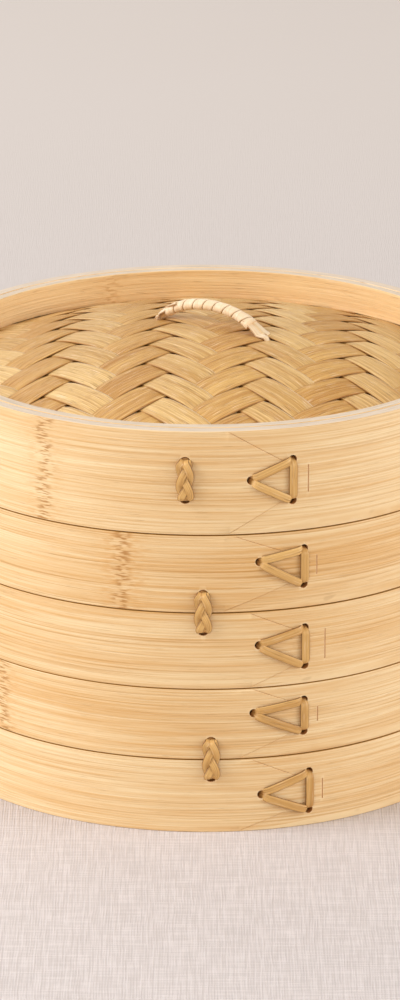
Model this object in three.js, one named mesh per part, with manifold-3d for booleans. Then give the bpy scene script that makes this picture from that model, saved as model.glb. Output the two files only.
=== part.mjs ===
// Bamboo steamer: two stacking tiers with slatted floors and a lid with a woven, domed cover.
// Each tier is two bent outer hoops, one above the other, bound to a taller inner hoop by braided ties.
// The inner hoop stands proud at the top and starts high at the bottom, so that a tier or the lid
// nests on it.
// Every outer hoop closes with a pointed tongue that laps over the hoop's own start, is laced down with
// a triangle of rattan, and has its tip tucked into a slit.
//
// Millimetres, +Z up. The origin is the centre of the base, the front is -Y.
// Azimuths are in degrees from the front, positive towards +X.
import * as THREE from "three";
import { mergeVertices } from "three/addons/utils/BufferGeometryUtils.js";
import Module from "manifold-3d";

const wasm = await Module();
wasm.setup();

// Hoops
const outerRadius = 101.5; // outside of the outer hoops, a 203 mm (8 inch) steamer
const outerHoopWall = 4;
const innerHoopWall = 3.6;
const hoopFit = 0.4; // radial clearance between nested hoops, and of the nesting rim
const seam = 0.3; // gap between the edges of stacked pieces
const nestingHeight = 7.5; // how far an inner hoop stands above its outer hoops
const nestingSlack = 1.5; // air above the nesting rim of the tier below
const hoopSegments = 48;

// Tongue and slit of each outer hoop's lap
const tongueProud = 0.35; // step at the tongue's edges
const tongueRoot = 0.6; // how deep the tongue's block is sunk into the hoop it is part of
const tongueTip = 3; // height of the tongue where it enters the slit
const tongueSteps = 5;
const slitWidth = 0.8;
const slitDepth = 1.6;

// Lacing of each lap: one flat rattan strand round three holes
const strandWidth = 2.6;
const strandThickness = 0.9;
const strandClearance = 0.3;
const legRadius = 1.1; // of the strand where it goes through a hole
const legFit = 0.6;

// Braided ties: four round each tier, three round the lid
const tierTieCount = 4;
const lidTieCount = 3;
const tieWidth = 5.4;
const tieThickness = 1.9;
const tieHoleSpacing = 12.6;
const tieHoleRadius = 2.15;
const tieLegRadius = 0.85;
const tieLegOffset = 1.05; // the legs bear on the outer side of their holes
const tieInnerWidth = 4;
const tieInnerThickness = 1.2;
const tieClearance = 0.3;

// Slatted floor
const slatCount = 12;
const slatSpace = 5.2;
const slatMargin = 4.6; // from the outermost slats to the floor's edge
const slatThickness = 4;
const floorRingWall = 3.5;
const floorRingHeight = 5;
const floorFit = 0.3;
const rodRadius = 1.1;
const rodHoleRadius = 1.4;
const rodOffset = 42; // each side of the centre
const rodSeat = 2.6; // depth of a rod's end in the inner hoop's wall

// Lid
const lidHeight = 37.8;
const coverSeat = 25.9; // of the woven cover's edge above the lid's base
const coverRise = 16.3; // from the cover's edge up to its crown, at the inner wall's radius
const coverThickness = 1.3;
const liningThickness = 1;
const coverInset = 0.3; // of the cover's edge from the outside of the ring that clamps it
const lidLegClearance = 0.4; // of the ties' upper legs above the cover's edge
const domeSegments = 36;
const domeSteps = 5;

// Handle
const handleTurn = 32.7; // of the arch, clockwise seen from above
const handleCentre = [2.5, 7.9];
const handleHalfSpan = 21.5; // where the core goes through the cover
const handleRise = 7.4; // of the core's centre line above the crown
const coreRadius = 1.2;
const wrapRadius = 2.3;
const wrapFit = 0.5;
const wrapShare = 0.8; // of the half span that the wrapping covers
const footReach = 5; // of the core's ends, bent out under the lining
const footDrop = 2.9; // of the core's ends below the cover's top face
const coreHoleFit = 0.35;
const coreSteps = 22;
const wrapSteps = 12;

// The outer hoops, each with its height, where its lap is and how its lacing sits.
// at: azimuth of the two right-hand holes; reach: arc from them to the left-hand hole; spread: between
// the two; rise: of their middle above the hoop's middle; point: of the left-hand hole above theirs;
// tuck: arc from the right-hand holes to the slit; slit: its height.
const lidHoop = {
  height: lidHeight, at: 17.2, reach: 13.8, spread: 15, rise: -0.3, point: 0.9, tuck: 5.8, slit: 9.9,
};
const tiers = [
  {
    name: "lower_tier",
    tieTurn: 1.2,
    base: { height: 27.4, at: 21, reach: 16.3, spread: 14.4, rise: -0.6, point: 0.5, tuck: 5.4, slit: 7.6 },
    rim: { height: 26.2, at: 19.8, reach: 17.2, spread: 11.7, rise: 1, point: 2.7, tuck: 5.3, slit: 5.6 },
  },
  {
    name: "upper_tier",
    tieTurn: -0.3,
    base: { height: 28.2, at: 19.9, reach: 15.5, spread: 14, rise: -0.5, point: 2, tuck: 7.7, slit: 11 },
    rim: { height: 28.3, at: 19.6, reach: 14.9, spread: 13.1, rise: 0.8, point: 3.1, tuck: 5, slit: 7 },
  },
];
const lidTieTurn = -3.6;

const outerHoopInside = outerRadius - outerHoopWall;
const innerHoopOutside = outerHoopInside - hoopFit;
const innerHoopInside = innerHoopOutside - innerHoopWall;
const floorRadius = innerHoopInside - floorFit;

const colours = {
  hoop: 0xe3b878,
  inner: 0xdcae6c,
  slat: 0xe6c084,
  weave: 0xd2a468,
  rattan: 0xcf9850,
  wrapping: 0xe8c99a,
};

function material(colour, roughness) {
  return new THREE.MeshStandardMaterial({ color: colour, roughness, metalness: 0 });
}

const materials = Object.fromEntries(
  Object.entries(colours).map(([name, colour]) => [name, material(colour, 0.55)]),
);

const steamer = new THREE.Group();
steamer.name = "steamer";

function addPiece(name, solid, finish) {
  const mesh = new THREE.Mesh(geometryOf(solid), materials[finish]);
  mesh.name = name;
  steamer.add(mesh);
}

// From three.js geometry to solids and back.

function solidOf(geometry) {
  const bare = geometry.index ? geometry.toNonIndexed() : geometry.clone();
  bare.deleteAttribute("normal");
  bare.deleteAttribute("uv");
  const merged = mergeVertices(bare, 1e-4);
  return new wasm.Manifold(
    new wasm.Mesh({
      numProp: 3,
      vertProperties: merged.attributes.position.array,
      triVerts: new Uint32Array(merged.index.array),
    }),
  );
}

function geometryOf(solid) {
  const mesh = solid.getMesh();
  const geometry = new THREE.BufferGeometry();
  geometry.setAttribute("position", new THREE.BufferAttribute(mesh.vertProperties, 3));
  geometry.setIndex(new THREE.BufferAttribute(mesh.triVerts, 1));
  geometry.computeVertexNormals();
  return geometry;
}

function join(solids) {
  return solids.reduce((whole, solid) => whole.add(solid));
}

function cut(solid, cutters) {
  return cutters.reduce((left, cutter) => left.subtract(cutter), solid);
}

// Shapes.

// A solid of revolution from [radius, height] points, listed anticlockwise and closed on themselves.
function revolve(profile, segments) {
  const points = [...profile, profile[0]].map(([radius, height]) => new THREE.Vector2(radius, height));
  return solidOf(new THREE.LatheGeometry(points, segments).rotateX(Math.PI / 2));
}

function ring(inside, outside, bottom, top) {
  const corners = [
    [inside, bottom],
    [outside, bottom],
    [outside, top],
    [inside, top],
  ];
  return revolve(corners, hoopSegments);
}

// Bends flat geometry round the Z axis: x becomes arc length at the given radius, y height, z radial offset.
function wrapRound(geometry, radius) {
  const position = geometry.attributes.position;
  for (let i = 0; i < position.count; i++) {
    const angle = position.getX(i) / radius;
    const reach = radius + position.getZ(i);
    position.setXYZ(i, reach * Math.sin(angle), -reach * Math.cos(angle), position.getY(i));
  }
  return solidOf(geometry);
}

function arcLength(azimuth) {
  return THREE.MathUtils.degToRad(azimuth) * outerRadius;
}

// A round bar pointing outwards from one radius to another.
function radialBar(barRadius, from, to, azimuth, height, sides) {
  const bar = new THREE.CylinderGeometry(barRadius, barRadius, to - from, sides);
  bar.translate(0, -(from + to) / 2, height);
  bar.rotateZ(THREE.MathUtils.degToRad(azimuth));
  return solidOf(bar);
}

// Laps: tongue, slit and lacing.

// The three holes of a hoop's lacing, as [arc length, height].
function lacingHoles(hoop, middle) {
  const right = arcLength(hoop.at);
  const centre = middle + hoop.rise;
  return [
    [right - hoop.reach, centre + hoop.point],
    [right, centre + hoop.spread / 2],
    [right, centre - hoop.spread / 2],
  ];
}

// The outline of a flat strand laid round three holes, with rounded corners, and its open middle.
function strandOutline(holes, width) {
  const corners = holes.map(([x, y]) => new THREE.Vector2(x, y)).reverse();
  const half = width / 2;
  const outline = new THREE.Shape();
  corners.forEach((corner, i) => {
    const next = corners[(i + 1) % 3];
    const before = corners[(i + 2) % 3];
    const arrive = corner.clone().sub(before).angle() - Math.PI / 2;
    const leave = next.clone().sub(corner).angle() - Math.PI / 2;
    outline.absarc(corner.x, corner.y, half, arrive, leave, false);
    const outward = new THREE.Vector2(Math.cos(leave), Math.sin(leave)).multiplyScalar(half);
    const middle = corner.clone().add(next).multiplyScalar(0.5).add(outward);
    outline.lineTo(middle.x, middle.y);
  });
  outline.holes.push(new THREE.Path(insetTriangle(corners, half)));
  return outline;
}

// A triangle's corners and mid-sides after moving every side inwards.
function insetTriangle(corners, inset) {
  const opposite = corners.map((_, i) => corners[(i + 1) % 3].distanceTo(corners[(i + 2) % 3]));
  const around = opposite[0] + opposite[1] + opposite[2];
  const centre = new THREE.Vector2();
  corners.forEach((corner, i) => centre.addScaledVector(corner, opposite[i] / around));
  const area = Math.abs(corners[1].clone().sub(corners[0]).cross(corners[2].clone().sub(corners[0]))) / 2;
  const scale = 1 - (inset * around) / (2 * area);
  const inner = corners.map((corner) => corner.clone().sub(centre).multiplyScalar(scale).add(centre));
  return inner.flatMap((corner, i) => [corner, corner.clone().add(inner[(i + 1) % 3]).multiplyScalar(0.5)]);
}

// The closed triangle of strands through three holes, between two radii.
function strandTriangle(holes, inner, outer, width) {
  const plate = new THREE.ExtrudeGeometry(strandOutline(holes, width), {
    depth: outer - inner,
    steps: 1,
    curveSegments: 1,
    bevelEnabled: false,
  });
  plate.translate(0, 0, inner - outerRadius);
  return wrapRound(plate, outerRadius);
}

function posts(holes, postRadius, inner, outer) {
  return holes.map(([arc, height]) => {
    const azimuth = THREE.MathUtils.radToDeg(arc / outerRadius);
    return radialBar(postRadius, inner, outer, azimuth, height, 6);
  });
}

const lacingOutside = outerRadius + tongueProud + strandClearance;
const lacingInside = outerHoopInside + strandClearance;

function lacing(hoop, middle) {
  const holes = lacingHoles(hoop, middle);
  const sunk = strandThickness / 2;
  return join([
    strandTriangle(holes, lacingOutside, lacingOutside + strandThickness, strandWidth),
    strandTriangle(holes, lacingInside, lacingInside + strandThickness, strandWidth),
    ...posts(holes, legRadius, lacingInside + sunk, lacingOutside + sunk),
  ]);
}

// What the lacing needs cut from its hoop: three holes, and a channel on the inside for the strands.
function lacingCuts(hoop, middle) {
  const holes = lacingHoles(hoop, middle);
  const channelTop = lacingInside + strandThickness + strandClearance;
  const channelWidth = strandWidth + 2 * strandClearance;
  const channel = strandTriangle(holes, outerHoopInside - 1, channelTop, channelWidth);
  return [channel, ...posts(holes, legRadius + legFit, outerHoopInside, outerRadius + 2)];
}

// The tongue narrows from the hoop's full height to its tip at the slit, and thins out to nothing at
// its start.
function tongue(hoop, middle) {
  const tip = arcLength(hoop.at) + hoop.tuck;
  const length = hoop.height - tongueTip;
  const block = new THREE.BoxGeometry(length, 1, 1, tongueSteps, 1, 1);
  const position = block.attributes.position;
  for (let i = 0; i < position.count; i++) {
    const share = position.getX(i) / length + 0.5;
    const height = THREE.MathUtils.lerp(hoop.height, tongueTip, share);
    const top = tongueProud * Math.min(1, 2 * share) - 0.15 * (1 - share);
    position.setXYZ(
      i,
      tip + (share - 1) * length,
      middle + position.getY(i) * height,
      position.getZ(i) > 0 ? top : -tongueRoot,
    );
  }
  return wrapRound(block, outerRadius);
}

function slit(hoop, middle) {
  const block = new THREE.BoxGeometry(slitWidth, hoop.slit, 2 * slitDepth);
  block.translate(arcLength(hoop.at) + hoop.tuck + slitWidth / 2, middle + hoop.rise, 0);
  return wrapRound(block, outerRadius);
}

function outerHoop(hoop, bottom) {
  const middle = bottom + hoop.height / 2;
  const band = ring(outerHoopInside, outerRadius, bottom, bottom + hoop.height - seam);
  const trimmed = { ...hoop, height: hoop.height - seam };
  const whole = band.add(tongue(trimmed, middle - seam / 2));
  return cut(whole, [slit(hoop, middle), ...lacingCuts(hoop, middle)]);
}

// Ties.

function tieAzimuths(turn, count) {
  return Array.from({ length: count }, (_, k) => turn + (k * 360) / count);
}

function tieHoleHeights(middle) {
  return [middle - tieHoleSpacing / 2, middle + tieHoleSpacing / 2];
}

// Holes through whatever walls stand between two radii.
function tieHoles(azimuths, heights, inner, outer) {
  return azimuths.flatMap((azimuth) =>
    heights.map((height) => radialBar(tieHoleRadius, inner, outer, azimuth, height, 8)),
  );
}

const tieInnerFace = innerHoopInside - tieClearance - tieInnerThickness / 2;
const tieOuterFace = outerRadius + tongueProud + tieClearance + tieThickness / 2;
const tieReach = tieHoleSpacing / 2 + tieLegOffset; // of the legs from the tie's middle

// A flattened bar standing along Z at the given radius.
function uprightBar(width, thickness, length, radius, azimuth, middle) {
  const bar = new THREE.CylinderGeometry(0.5, 0.5, length, 8);
  bar.rotateX(Math.PI / 2);
  bar.scale(width, thickness, 1);
  bar.translate(0, -radius, middle);
  bar.rotateZ(THREE.MathUtils.degToRad(azimuth));
  return solidOf(bar);
}

function tie(azimuth, middle) {
  const length = 2 * (tieReach + tieLegRadius);
  const legs = [-tieReach, tieReach].map((offset) =>
    radialBar(tieLegRadius, tieInnerFace, tieOuterFace, azimuth, middle + offset, 6),
  );
  return join([
    uprightBar(tieWidth, tieThickness, length, tieOuterFace, azimuth, middle),
    uprightBar(tieInnerWidth, tieInnerThickness, length, tieInnerFace, azimuth, middle),
    ...legs,
  ]);
}

// The room that the ties' inner straps take from whatever is beside them.
function tieRoom(azimuths, middle) {
  return azimuths.map((azimuth) =>
    uprightBar(
      tieInnerWidth + 2 * tieClearance,
      tieInnerThickness + 2 * tieClearance,
      2 * (tieReach + tieLegRadius + tieClearance),
      tieInnerFace,
      azimuth,
      middle,
    ),
  );
}

function addTies(prefix, azimuths, middle) {
  azimuths.forEach((azimuth, k) => addPiece(`${prefix}_tie_${k + 1}`, tie(azimuth, middle), "rattan"));
}

// Floors.

const floorSeat = nestingHeight + nestingSlack; // of the inner hoops and floor rings above their tier's base
const slatPitch = (2 * (floorRadius - slatMargin) + slatSpace) / slatCount;
const slatWidth = slatPitch - slatSpace;

function rod(bottom, offset, barRadius, halfLength) {
  const bar = new THREE.CylinderGeometry(barRadius, barRadius, 2 * halfLength, 6);
  bar.rotateZ(Math.PI / 2);
  bar.translate(0, offset, slatBottom(bottom) + slatThickness / 2);
  return solidOf(bar);
}

function rodReach(offset) {
  return Math.sqrt(innerHoopInside ** 2 - offset ** 2);
}

function rodHoles(bottom, halfLength) {
  return [-rodOffset, rodOffset].map((offset) => rod(bottom, offset, rodHoleRadius, halfLength));
}

function slatBottom(bottom) {
  return bottom + floorSeat + floorRingHeight + seam;
}

function slat(bottom, index, cutters) {
  const low = slatBottom(bottom);
  const middle = (index - (slatCount - 1) / 2) * slatPitch;
  const blank = new THREE.BoxGeometry(slatWidth, 2 * floorRadius, slatThickness);
  blank.translate(middle, 0, low + slatThickness / 2);
  const disc = new THREE.CylinderGeometry(floorRadius, floorRadius, 2 * slatThickness, hoopSegments);
  disc.rotateX(Math.PI / 2);
  disc.translate(0, 0, low + slatThickness / 2);
  return cut(solidOf(blank).intersect(solidOf(disc)), [...rodHoles(bottom, outerRadius), ...cutters]);
}

function addFloor(name, bottom, cutters) {
  const seat = bottom + floorSeat;
  const floorRing = ring(floorRadius - floorRingWall, floorRadius, seat, seat + floorRingHeight);
  addPiece(`${name}_floor_ring`, cut(floorRing, cutters), "inner");
  const rodHalf = rodReach(rodOffset) + rodSeat;
  [-rodOffset, rodOffset].forEach((offset, k) =>
    addPiece(`${name}_rod_${k + 1}`, rod(bottom, offset, rodRadius, rodHalf), "slat"),
  );
  for (let k = 0; k < slatCount; k++) {
    addPiece(`${name}_slat_${k + 1}`, slat(bottom, k, cutters), "slat");
  }
}

// Tiers.

function tierHeight(tier) {
  return tier.base.height + tier.rim.height;
}

function addTier(tier, bottom) {
  const parting = bottom + tier.base.height; // where the base hoop and the rim hoop meet
  const tieHeights = tieHoleHeights(parting);
  const azimuths = tieAzimuths(tier.tieTurn, tierTieCount);
  const outerCuts = tieHoles(azimuths, tieHeights, outerHoopInside - 1, outerRadius + 2);
  const innerCuts = tieHoles(azimuths, tieHeights, innerHoopInside - 1, innerHoopOutside + 1);
  addPiece(`${tier.name}_base_hoop`, cut(outerHoop(tier.base, bottom), outerCuts), "hoop");
  addPiece(`${tier.name}_rim_hoop`, cut(outerHoop(tier.rim, parting), outerCuts), "hoop");
  const innerTop = bottom + tierHeight(tier) + nestingHeight;
  const inner = ring(innerHoopInside, innerHoopOutside, bottom + floorSeat, innerTop);
  const rodEnds = rodHoles(bottom, rodReach(rodOffset) + rodSeat + seam);
  addPiece(`${tier.name}_inner_hoop`, cut(inner, [...innerCuts, ...rodEnds]), "inner");
  addPiece(`${tier.name}_base_lacing`, lacing(tier.base, bottom + tier.base.height / 2), "rattan");
  addPiece(`${tier.name}_rim_lacing`, lacing(tier.rim, parting + tier.rim.height / 2), "rattan");
  addTies(tier.name, azimuths, parting);
  addFloor(tier.name, bottom, tieRoom(azimuths, parting));
}

// Lid.

// A dome shell: its top face follows a parabola, with a level rim that lies between the lid's two rings.
function domeShell(edgeHeight, thickness) {
  const radii = Array.from({ length: domeSteps + 1 }, (_, k) => (innerHoopInside * k) / domeSteps);
  const rise = (radius) => coverRise * (1 - (radius / innerHoopInside) ** 2);
  const face = radii.map((radius) => [radius, edgeHeight + rise(radius)]);
  const rimEdge = innerHoopOutside - coverInset;
  const top = [...face, [rimEdge, edgeHeight]];
  const underside = top.map(([radius, height]) => [radius, height - thickness]);
  return revolve([...underside, ...top.reverse()], domeSegments);
}

// The handle's centre line: an arch over the crown whose ends dive through the cover and bend outwards
// below it.
// share: how much of the line each side of the crown is kept, 1 for all of it.
function handlePath(crown, share) {
  const half = handleHalfSpan;
  const side = [
    [0, handleRise],
    [0.35 * half, 0.9 * handleRise],
    [0.7 * half, 0.58 * handleRise],
    [half, -0.8],
    [half + 0.3 * footReach, -footDrop - 1.4],
    [half + footReach, -footDrop - 2.4],
  ];
  const kept = side.slice(0, share < 1 ? 3 : side.length);
  if (share < 1) kept.push([share * half, 0.36 * handleRise]);
  const turn = THREE.MathUtils.degToRad(-handleTurn);
  const line = [...kept.slice(1).reverse().map(([along, up]) => [-along, up]), ...kept];
  const points = line.map(
    ([along, up]) =>
      new THREE.Vector3(
        handleCentre[0] + along * Math.cos(turn),
        handleCentre[1] + along * Math.sin(turn),
        crown + up,
      ),
  );
  return new THREE.CatmullRomCurve3(points, false, "centripetal");
}

function circle(radius) {
  return new THREE.Shape().absarc(0, 0, radius, 0, 2 * Math.PI);
}

function sweep(shape, path, steps) {
  return solidOf(new THREE.ExtrudeGeometry(shape, { steps, extrudePath: path, curveSegments: 4 }));
}

function addLid(bottom) {
  const rim = bottom + lidHeight;
  const coverEdge = bottom + coverSeat;
  const tieMiddle = coverEdge + lidLegClearance + tieLegRadius - tieReach;
  const tieHeights = tieHoleHeights(tieMiddle);
  const azimuths = tieAzimuths(lidTieTurn, lidTieCount);
  const outerCuts = tieHoles(azimuths, tieHeights, outerHoopInside - 1, outerRadius + 2);
  const innerCuts = tieHoles(azimuths, tieHeights, innerHoopInside - 1, innerHoopOutside + 1);
  addPiece("lid_outer_hoop", cut(outerHoop(lidHoop, bottom), outerCuts), "hoop");

  const liningEdge = coverEdge - coverThickness - seam;
  const seatTop = liningEdge - liningThickness - seam;
  const clampRing = ring(innerHoopInside, innerHoopOutside, coverEdge + seam, rim - seam);
  const seatRing = ring(innerHoopInside, innerHoopOutside, bottom + floorSeat, seatTop);
  addPiece("lid_clamp_ring", cut(clampRing, innerCuts), "inner");
  addPiece("lid_seat_ring", cut(seatRing, innerCuts), "inner");

  const crown = coverEdge + coverRise * (1 - Math.hypot(...handleCentre) ** 2 / innerHoopInside ** 2);
  const corePath = handlePath(crown, 1);
  const coreHole = sweep(circle(coreRadius + coreHoleFit), corePath, coreSteps);
  const coverCuts = [coreHole, ...tieRoom(azimuths, tieMiddle)];
  addPiece("lid_woven_cover", cut(domeShell(coverEdge, coverThickness), coverCuts), "weave");
  addPiece("lid_lining", cut(domeShell(liningEdge, liningThickness), coverCuts), "weave");

  addPiece("handle_core", sweep(circle(coreRadius), corePath, coreSteps), "slat");
  const sleeve = circle(wrapRadius);
  sleeve.holes.push(new THREE.Path().absarc(0, 0, coreRadius + wrapFit, 0, 2 * Math.PI, true));
  addPiece("handle_wrapping", sweep(sleeve, handlePath(crown, wrapShare), wrapSteps), "wrapping");

  addPiece("lid_lacing", lacing(lidHoop, bottom + lidHeight / 2), "rattan");
  addTies("lid", azimuths, tieMiddle);
}

const lidBottom = tiers.reduce((height, tier) => {
  addTier(tier, height);
  return height + tierHeight(tier);
}, 0);
addLid(lidBottom);

export default steamer;
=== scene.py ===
import math
import bpy
import numpy as np
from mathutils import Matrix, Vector


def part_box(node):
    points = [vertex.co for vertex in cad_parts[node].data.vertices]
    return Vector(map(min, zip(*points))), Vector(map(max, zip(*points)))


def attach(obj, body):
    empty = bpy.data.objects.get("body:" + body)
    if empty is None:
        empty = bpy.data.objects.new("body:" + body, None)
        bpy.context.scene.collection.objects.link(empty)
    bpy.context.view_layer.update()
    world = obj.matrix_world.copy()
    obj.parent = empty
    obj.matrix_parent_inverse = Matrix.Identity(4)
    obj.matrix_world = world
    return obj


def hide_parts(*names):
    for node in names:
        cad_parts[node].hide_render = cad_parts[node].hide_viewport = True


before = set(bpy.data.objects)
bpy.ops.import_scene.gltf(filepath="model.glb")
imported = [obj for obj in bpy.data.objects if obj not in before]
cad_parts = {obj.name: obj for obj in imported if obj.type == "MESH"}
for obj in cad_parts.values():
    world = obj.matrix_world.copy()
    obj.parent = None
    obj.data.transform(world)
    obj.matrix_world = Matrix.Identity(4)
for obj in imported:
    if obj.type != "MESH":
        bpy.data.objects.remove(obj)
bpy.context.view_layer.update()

# Lengths are metres. Azimuths are degrees from the front (-Y), positive towards +X.
mm = 0.001


def gridPart(points, u, v, closeU=False, closeV=False, cut=None, caps=False):
    # Quads over a grid of points. u and v are the grain map's values; on a closed side they have one
    # more entry.
    rows, columns = points.shape[:2]
    i = np.arange(rows if closeU else rows - 1)[:, None]
    j = np.arange(columns if closeV else columns - 1)[None, :]
    i, j = np.broadcast_arrays(i, j)
    corners = [(i, j), (i + 1, j), (i + 1, j + 1), (i, j + 1)]
    quads = np.stack([(a % rows) * columns + b % columns for a, b in corners], -1).reshape(-1, 4)
    grain = np.stack([np.stack([u[a, b], v[a, b]], -1) for a, b in corners], 2).reshape(-1, 4, 2)
    if cut is None:
        cut = np.zeros((rows, columns))
    lids = []
    if caps:
        ring = np.arange(columns)
        lids = [ring, ring[::-1] + (rows - 1) * columns]
    part = {"points": points.reshape(-1, 3), "quads": quads, "grain": grain, "cut": cut.ravel(), "lids": lids}
    closed = caps or (closeU and closeV)
    return faceOutwards(part) if closed else part


def closedRows(values):
    return np.concatenate([values, values[:, :1]], 1)


def tubePart(points, u, v, cut=None):
    return gridPart(points, u, v, closeV=True, caps=True, cut=cut)


def faceOutwards(part):
    # Signed volume = sum of a . (b x c) / 6 over the triangles; every face is turned round when it is
    # negative.
    points = part["points"]
    quads = part["quads"]
    triangles = [quads[:, [0, 1, 2]], quads[:, [0, 2, 3]]]
    triangles += [np.stack([np.full(len(lid) - 2, lid[0]), lid[1:-1], lid[2:]], 1) for lid in part["lids"]]
    a, b, c = (points[np.concatenate(triangles)[:, k]] for k in range(3))
    if np.sum(a * np.cross(b, c)) < 0:
        part["quads"] = quads[:, ::-1]
        part["grain"] = part["grain"][:, ::-1]
        part["lids"] = [lid[::-1] for lid in part["lids"]]
    return part


def makePiece(name, parts, finish, smoothAngle=40, tone=0.5):
    # One mesh object from grid parts, with its grain map and its "cut" and "tone" attributes.
    start = np.cumsum([0] + [len(part["points"]) for part in parts])
    points = np.concatenate([part["points"] for part in parts])
    quads = np.concatenate([part["quads"] + start[k] for k, part in enumerate(parts)])
    lids = [(lid + start[k]) for k, part in enumerate(parts) for lid in part["lids"]]
    sizes = np.concatenate([np.full(len(quads), 4), [len(lid) for lid in lids]]).astype(int)
    loops = np.concatenate([quads.ravel()] + lids).astype(int)
    grain = np.concatenate([part["grain"].reshape(-1, 2) for part in parts])
    if lids:
        lidGrain = points[np.concatenate(lids)][:, :2]
        grain = np.concatenate([grain, lidGrain])
    mesh = bpy.data.meshes.new(name)
    mesh.vertices.add(len(points))
    mesh.vertices.foreach_set("co", points.ravel())
    mesh.loops.add(len(loops))
    mesh.loops.foreach_set("vertex_index", loops)
    mesh.polygons.add(len(sizes))
    mesh.polygons.foreach_set("loop_start", np.concatenate([[0], np.cumsum(sizes)[:-1]]))
    mesh.uv_layers.new(name="grain").data.foreach_set("uv", grain.ravel())
    cut = np.concatenate([part["cut"] for part in parts])
    mesh.attributes.new("cut", "FLOAT", "POINT").data.foreach_set("value", cut)
    tones = np.concatenate([np.full(len(part["points"]), part.get("tone", tone)) for part in parts])
    mesh.attributes.new("tone", "FLOAT", "POINT").data.foreach_set("value", tones)
    mesh.update(calc_edges=True)
    mesh.validate()
    mesh.shade_smooth()
    mesh.set_sharp_from_angle(angle=math.radians(smoothAngle))
    mesh.materials.append(finishes[finish])
    piece = bpy.data.objects.new(name, mesh)
    bpy.context.scene.collection.objects.link(piece)
    return piece


def settle(piece, body, slot, *nodes):
    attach(piece, body)
    if nodes:
        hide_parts(*nodes)


def onCylinder(azimuth, radius, height):
    # x = r sin a, y = -r cos a, z = h
    angle = np.radians(azimuth)
    return np.stack(np.broadcast_arrays(radius * np.sin(angle), -radius * np.cos(angle), height), -1)


def azimuthOf(point):
    return math.degrees(math.atan2(point[0], -point[1]))


def wave(azimuth, seed, waves=4):
    # Sum of a few sines round the circle, between about -1 and 1.
    draw = np.random.default_rng(seed)
    total = 0
    for k in range(1, waves + 1):
        total = total + np.sin(np.radians(azimuth) * k + draw.uniform(0, 2 * math.pi)) / waves
    return total


def smoothStep(x, low, high):
    t = np.clip((x - low) / (high - low), 0, 1)
    return t * t * (3 - 2 * t)


def superLoop(count, power):
    # Points (cos, sin) of a squared-off circle: each is the sign times the modulus to the given power.
    angle = np.arange(count) / count * 2 * math.pi
    cosine = np.cos(angle)
    sine = np.sin(angle)
    return np.sign(cosine) * np.abs(cosine) ** power, np.sign(sine) * np.abs(sine) ** power


def ribbonPart(centre, across, normal, width, thickness, seed, crown=0.0, count=16, power=0.45, soot=0.0):
    # A strip of squared-off section along a path:
    # centre + across * x + normal * (y + crown * (1 - (2x / width)^2)). Its last argument paints shade along
    # its
    # edges: painted shade where strands and strips meet.
    x, y = superLoop(count, power)
    width = np.broadcast_to(width, len(centre))[:, None]
    thickness = np.broadcast_to(thickness, len(centre))[:, None]
    side = x[None, :] * width / 2
    rise = y[None, :] * thickness / 2 + crown * (1 - x[None, :] ** 2)
    points = centre[:, None] + across[:, None] * side[..., None] + normal[:, None] * rise[..., None]
    along = np.concatenate([[0], np.cumsum(np.linalg.norm(np.diff(centre, axis=0), axis=1))])
    u = np.repeat(along[:, None], count + 1, 1) + 0.137 * seed
    v = side + y[None, :] * thickness / 2
    v = closedRows(v) + 0.611 * seed
    # Painted shade along both edges of the strip.
    cut = -soot * smoothStep(np.abs(x), 0.86, 0.99)[None, :] + 0 * side
    return tubePart(points, u, v, cut)


def direction(points):
    along = np.gradient(points, axis=0)
    return along / np.linalg.norm(along, axis=1)[:, None]


def pathFrame(points, up):
    # Across and normal directions of a path whose flat side faces up.
    along = direction(points)
    across = np.cross(along, up)
    across = across / np.linalg.norm(across, axis=1)[:, None]
    return across, np.cross(across, along)


def runPart(points, outward, width, thickness, seed):
    # A straight run with its flat side outwards.
    across = np.cross(direction(points), outward)
    return ribbonPart(points, across, outward, width, thickness, seed)


class Graph:
    def __init__(self, name):
        self.material = bpy.data.materials.new(name)
        self.material.use_nodes = True
        self.tree = self.material.node_tree
        self.shader = self.tree.nodes["Principled BSDF"]

    def node(self, kind, inputs, **options):
        made = self.tree.nodes.new(kind)
        for key, value in options.items():
            setattr(made, key, value)
        for key, value in inputs.items():
            self.feed(made.inputs[key], value)
        return made

    def feed(self, socket, value):
        if isinstance(value, bpy.types.NodeSocket):
            self.tree.links.new(value, socket)
        else:
            socket.default_value = value

    def math(self, operation, a, b=0.0, c=0.0):
        return self.node("ShaderNodeMath", {0: a, 1: b, 2: c}, operation=operation).outputs[0]

    def times(self, a, b):
        return self.math("MULTIPLY", a, b)

    def linear(self, a, b, c):
        return self.math("MULTIPLY_ADD", a, b, c)

    def step(self, value, low, high):
        made = self.node("ShaderNodeMapRange", {"Value": value, "From Min": low, "From Max": high})
        made.interpolation_type = "SMOOTHSTEP"
        return made.outputs[0]

    def vector(self, x, y, z=0.0):
        return self.node("ShaderNodeCombineXYZ", {0: x, 1: y, 2: z}).outputs[0]

    def noise(self, vector, detail=2.0, roughness=0.5):
        inputs = {"Vector": vector, "Scale": 1.0, "Detail": detail, "Roughness": roughness}
        return self.node("ShaderNodeTexNoise", inputs).outputs[0]

    def scaled(self, vector, scale):
        return self.node("ShaderNodeMapping", {0: vector, 3: (scale, scale, scale)}).outputs[0]

    def mix(self, share, a, b):
        return self.node("ShaderNodeMix", {0: share, 6: a, 7: b}, data_type="RGBA").outputs[2]

    def bumps(self, height, distance, strength):
        inputs = {"Height": height, "Distance": distance, "Strength": strength}
        self.feed(self.shader.inputs["Normal"], self.node("ShaderNodeBump", inputs).outputs[0])

    def surface(self, inputs):
        for name, value in inputs.items():
            self.feed(self.shader.inputs[name], value)

    def attribute(self, name):
        return self.node("ShaderNodeAttribute", {}, attribute_name=name).outputs["Fac"]


def rgba(red, green, blue):
    return (red, green, blue, 1.0)
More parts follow.
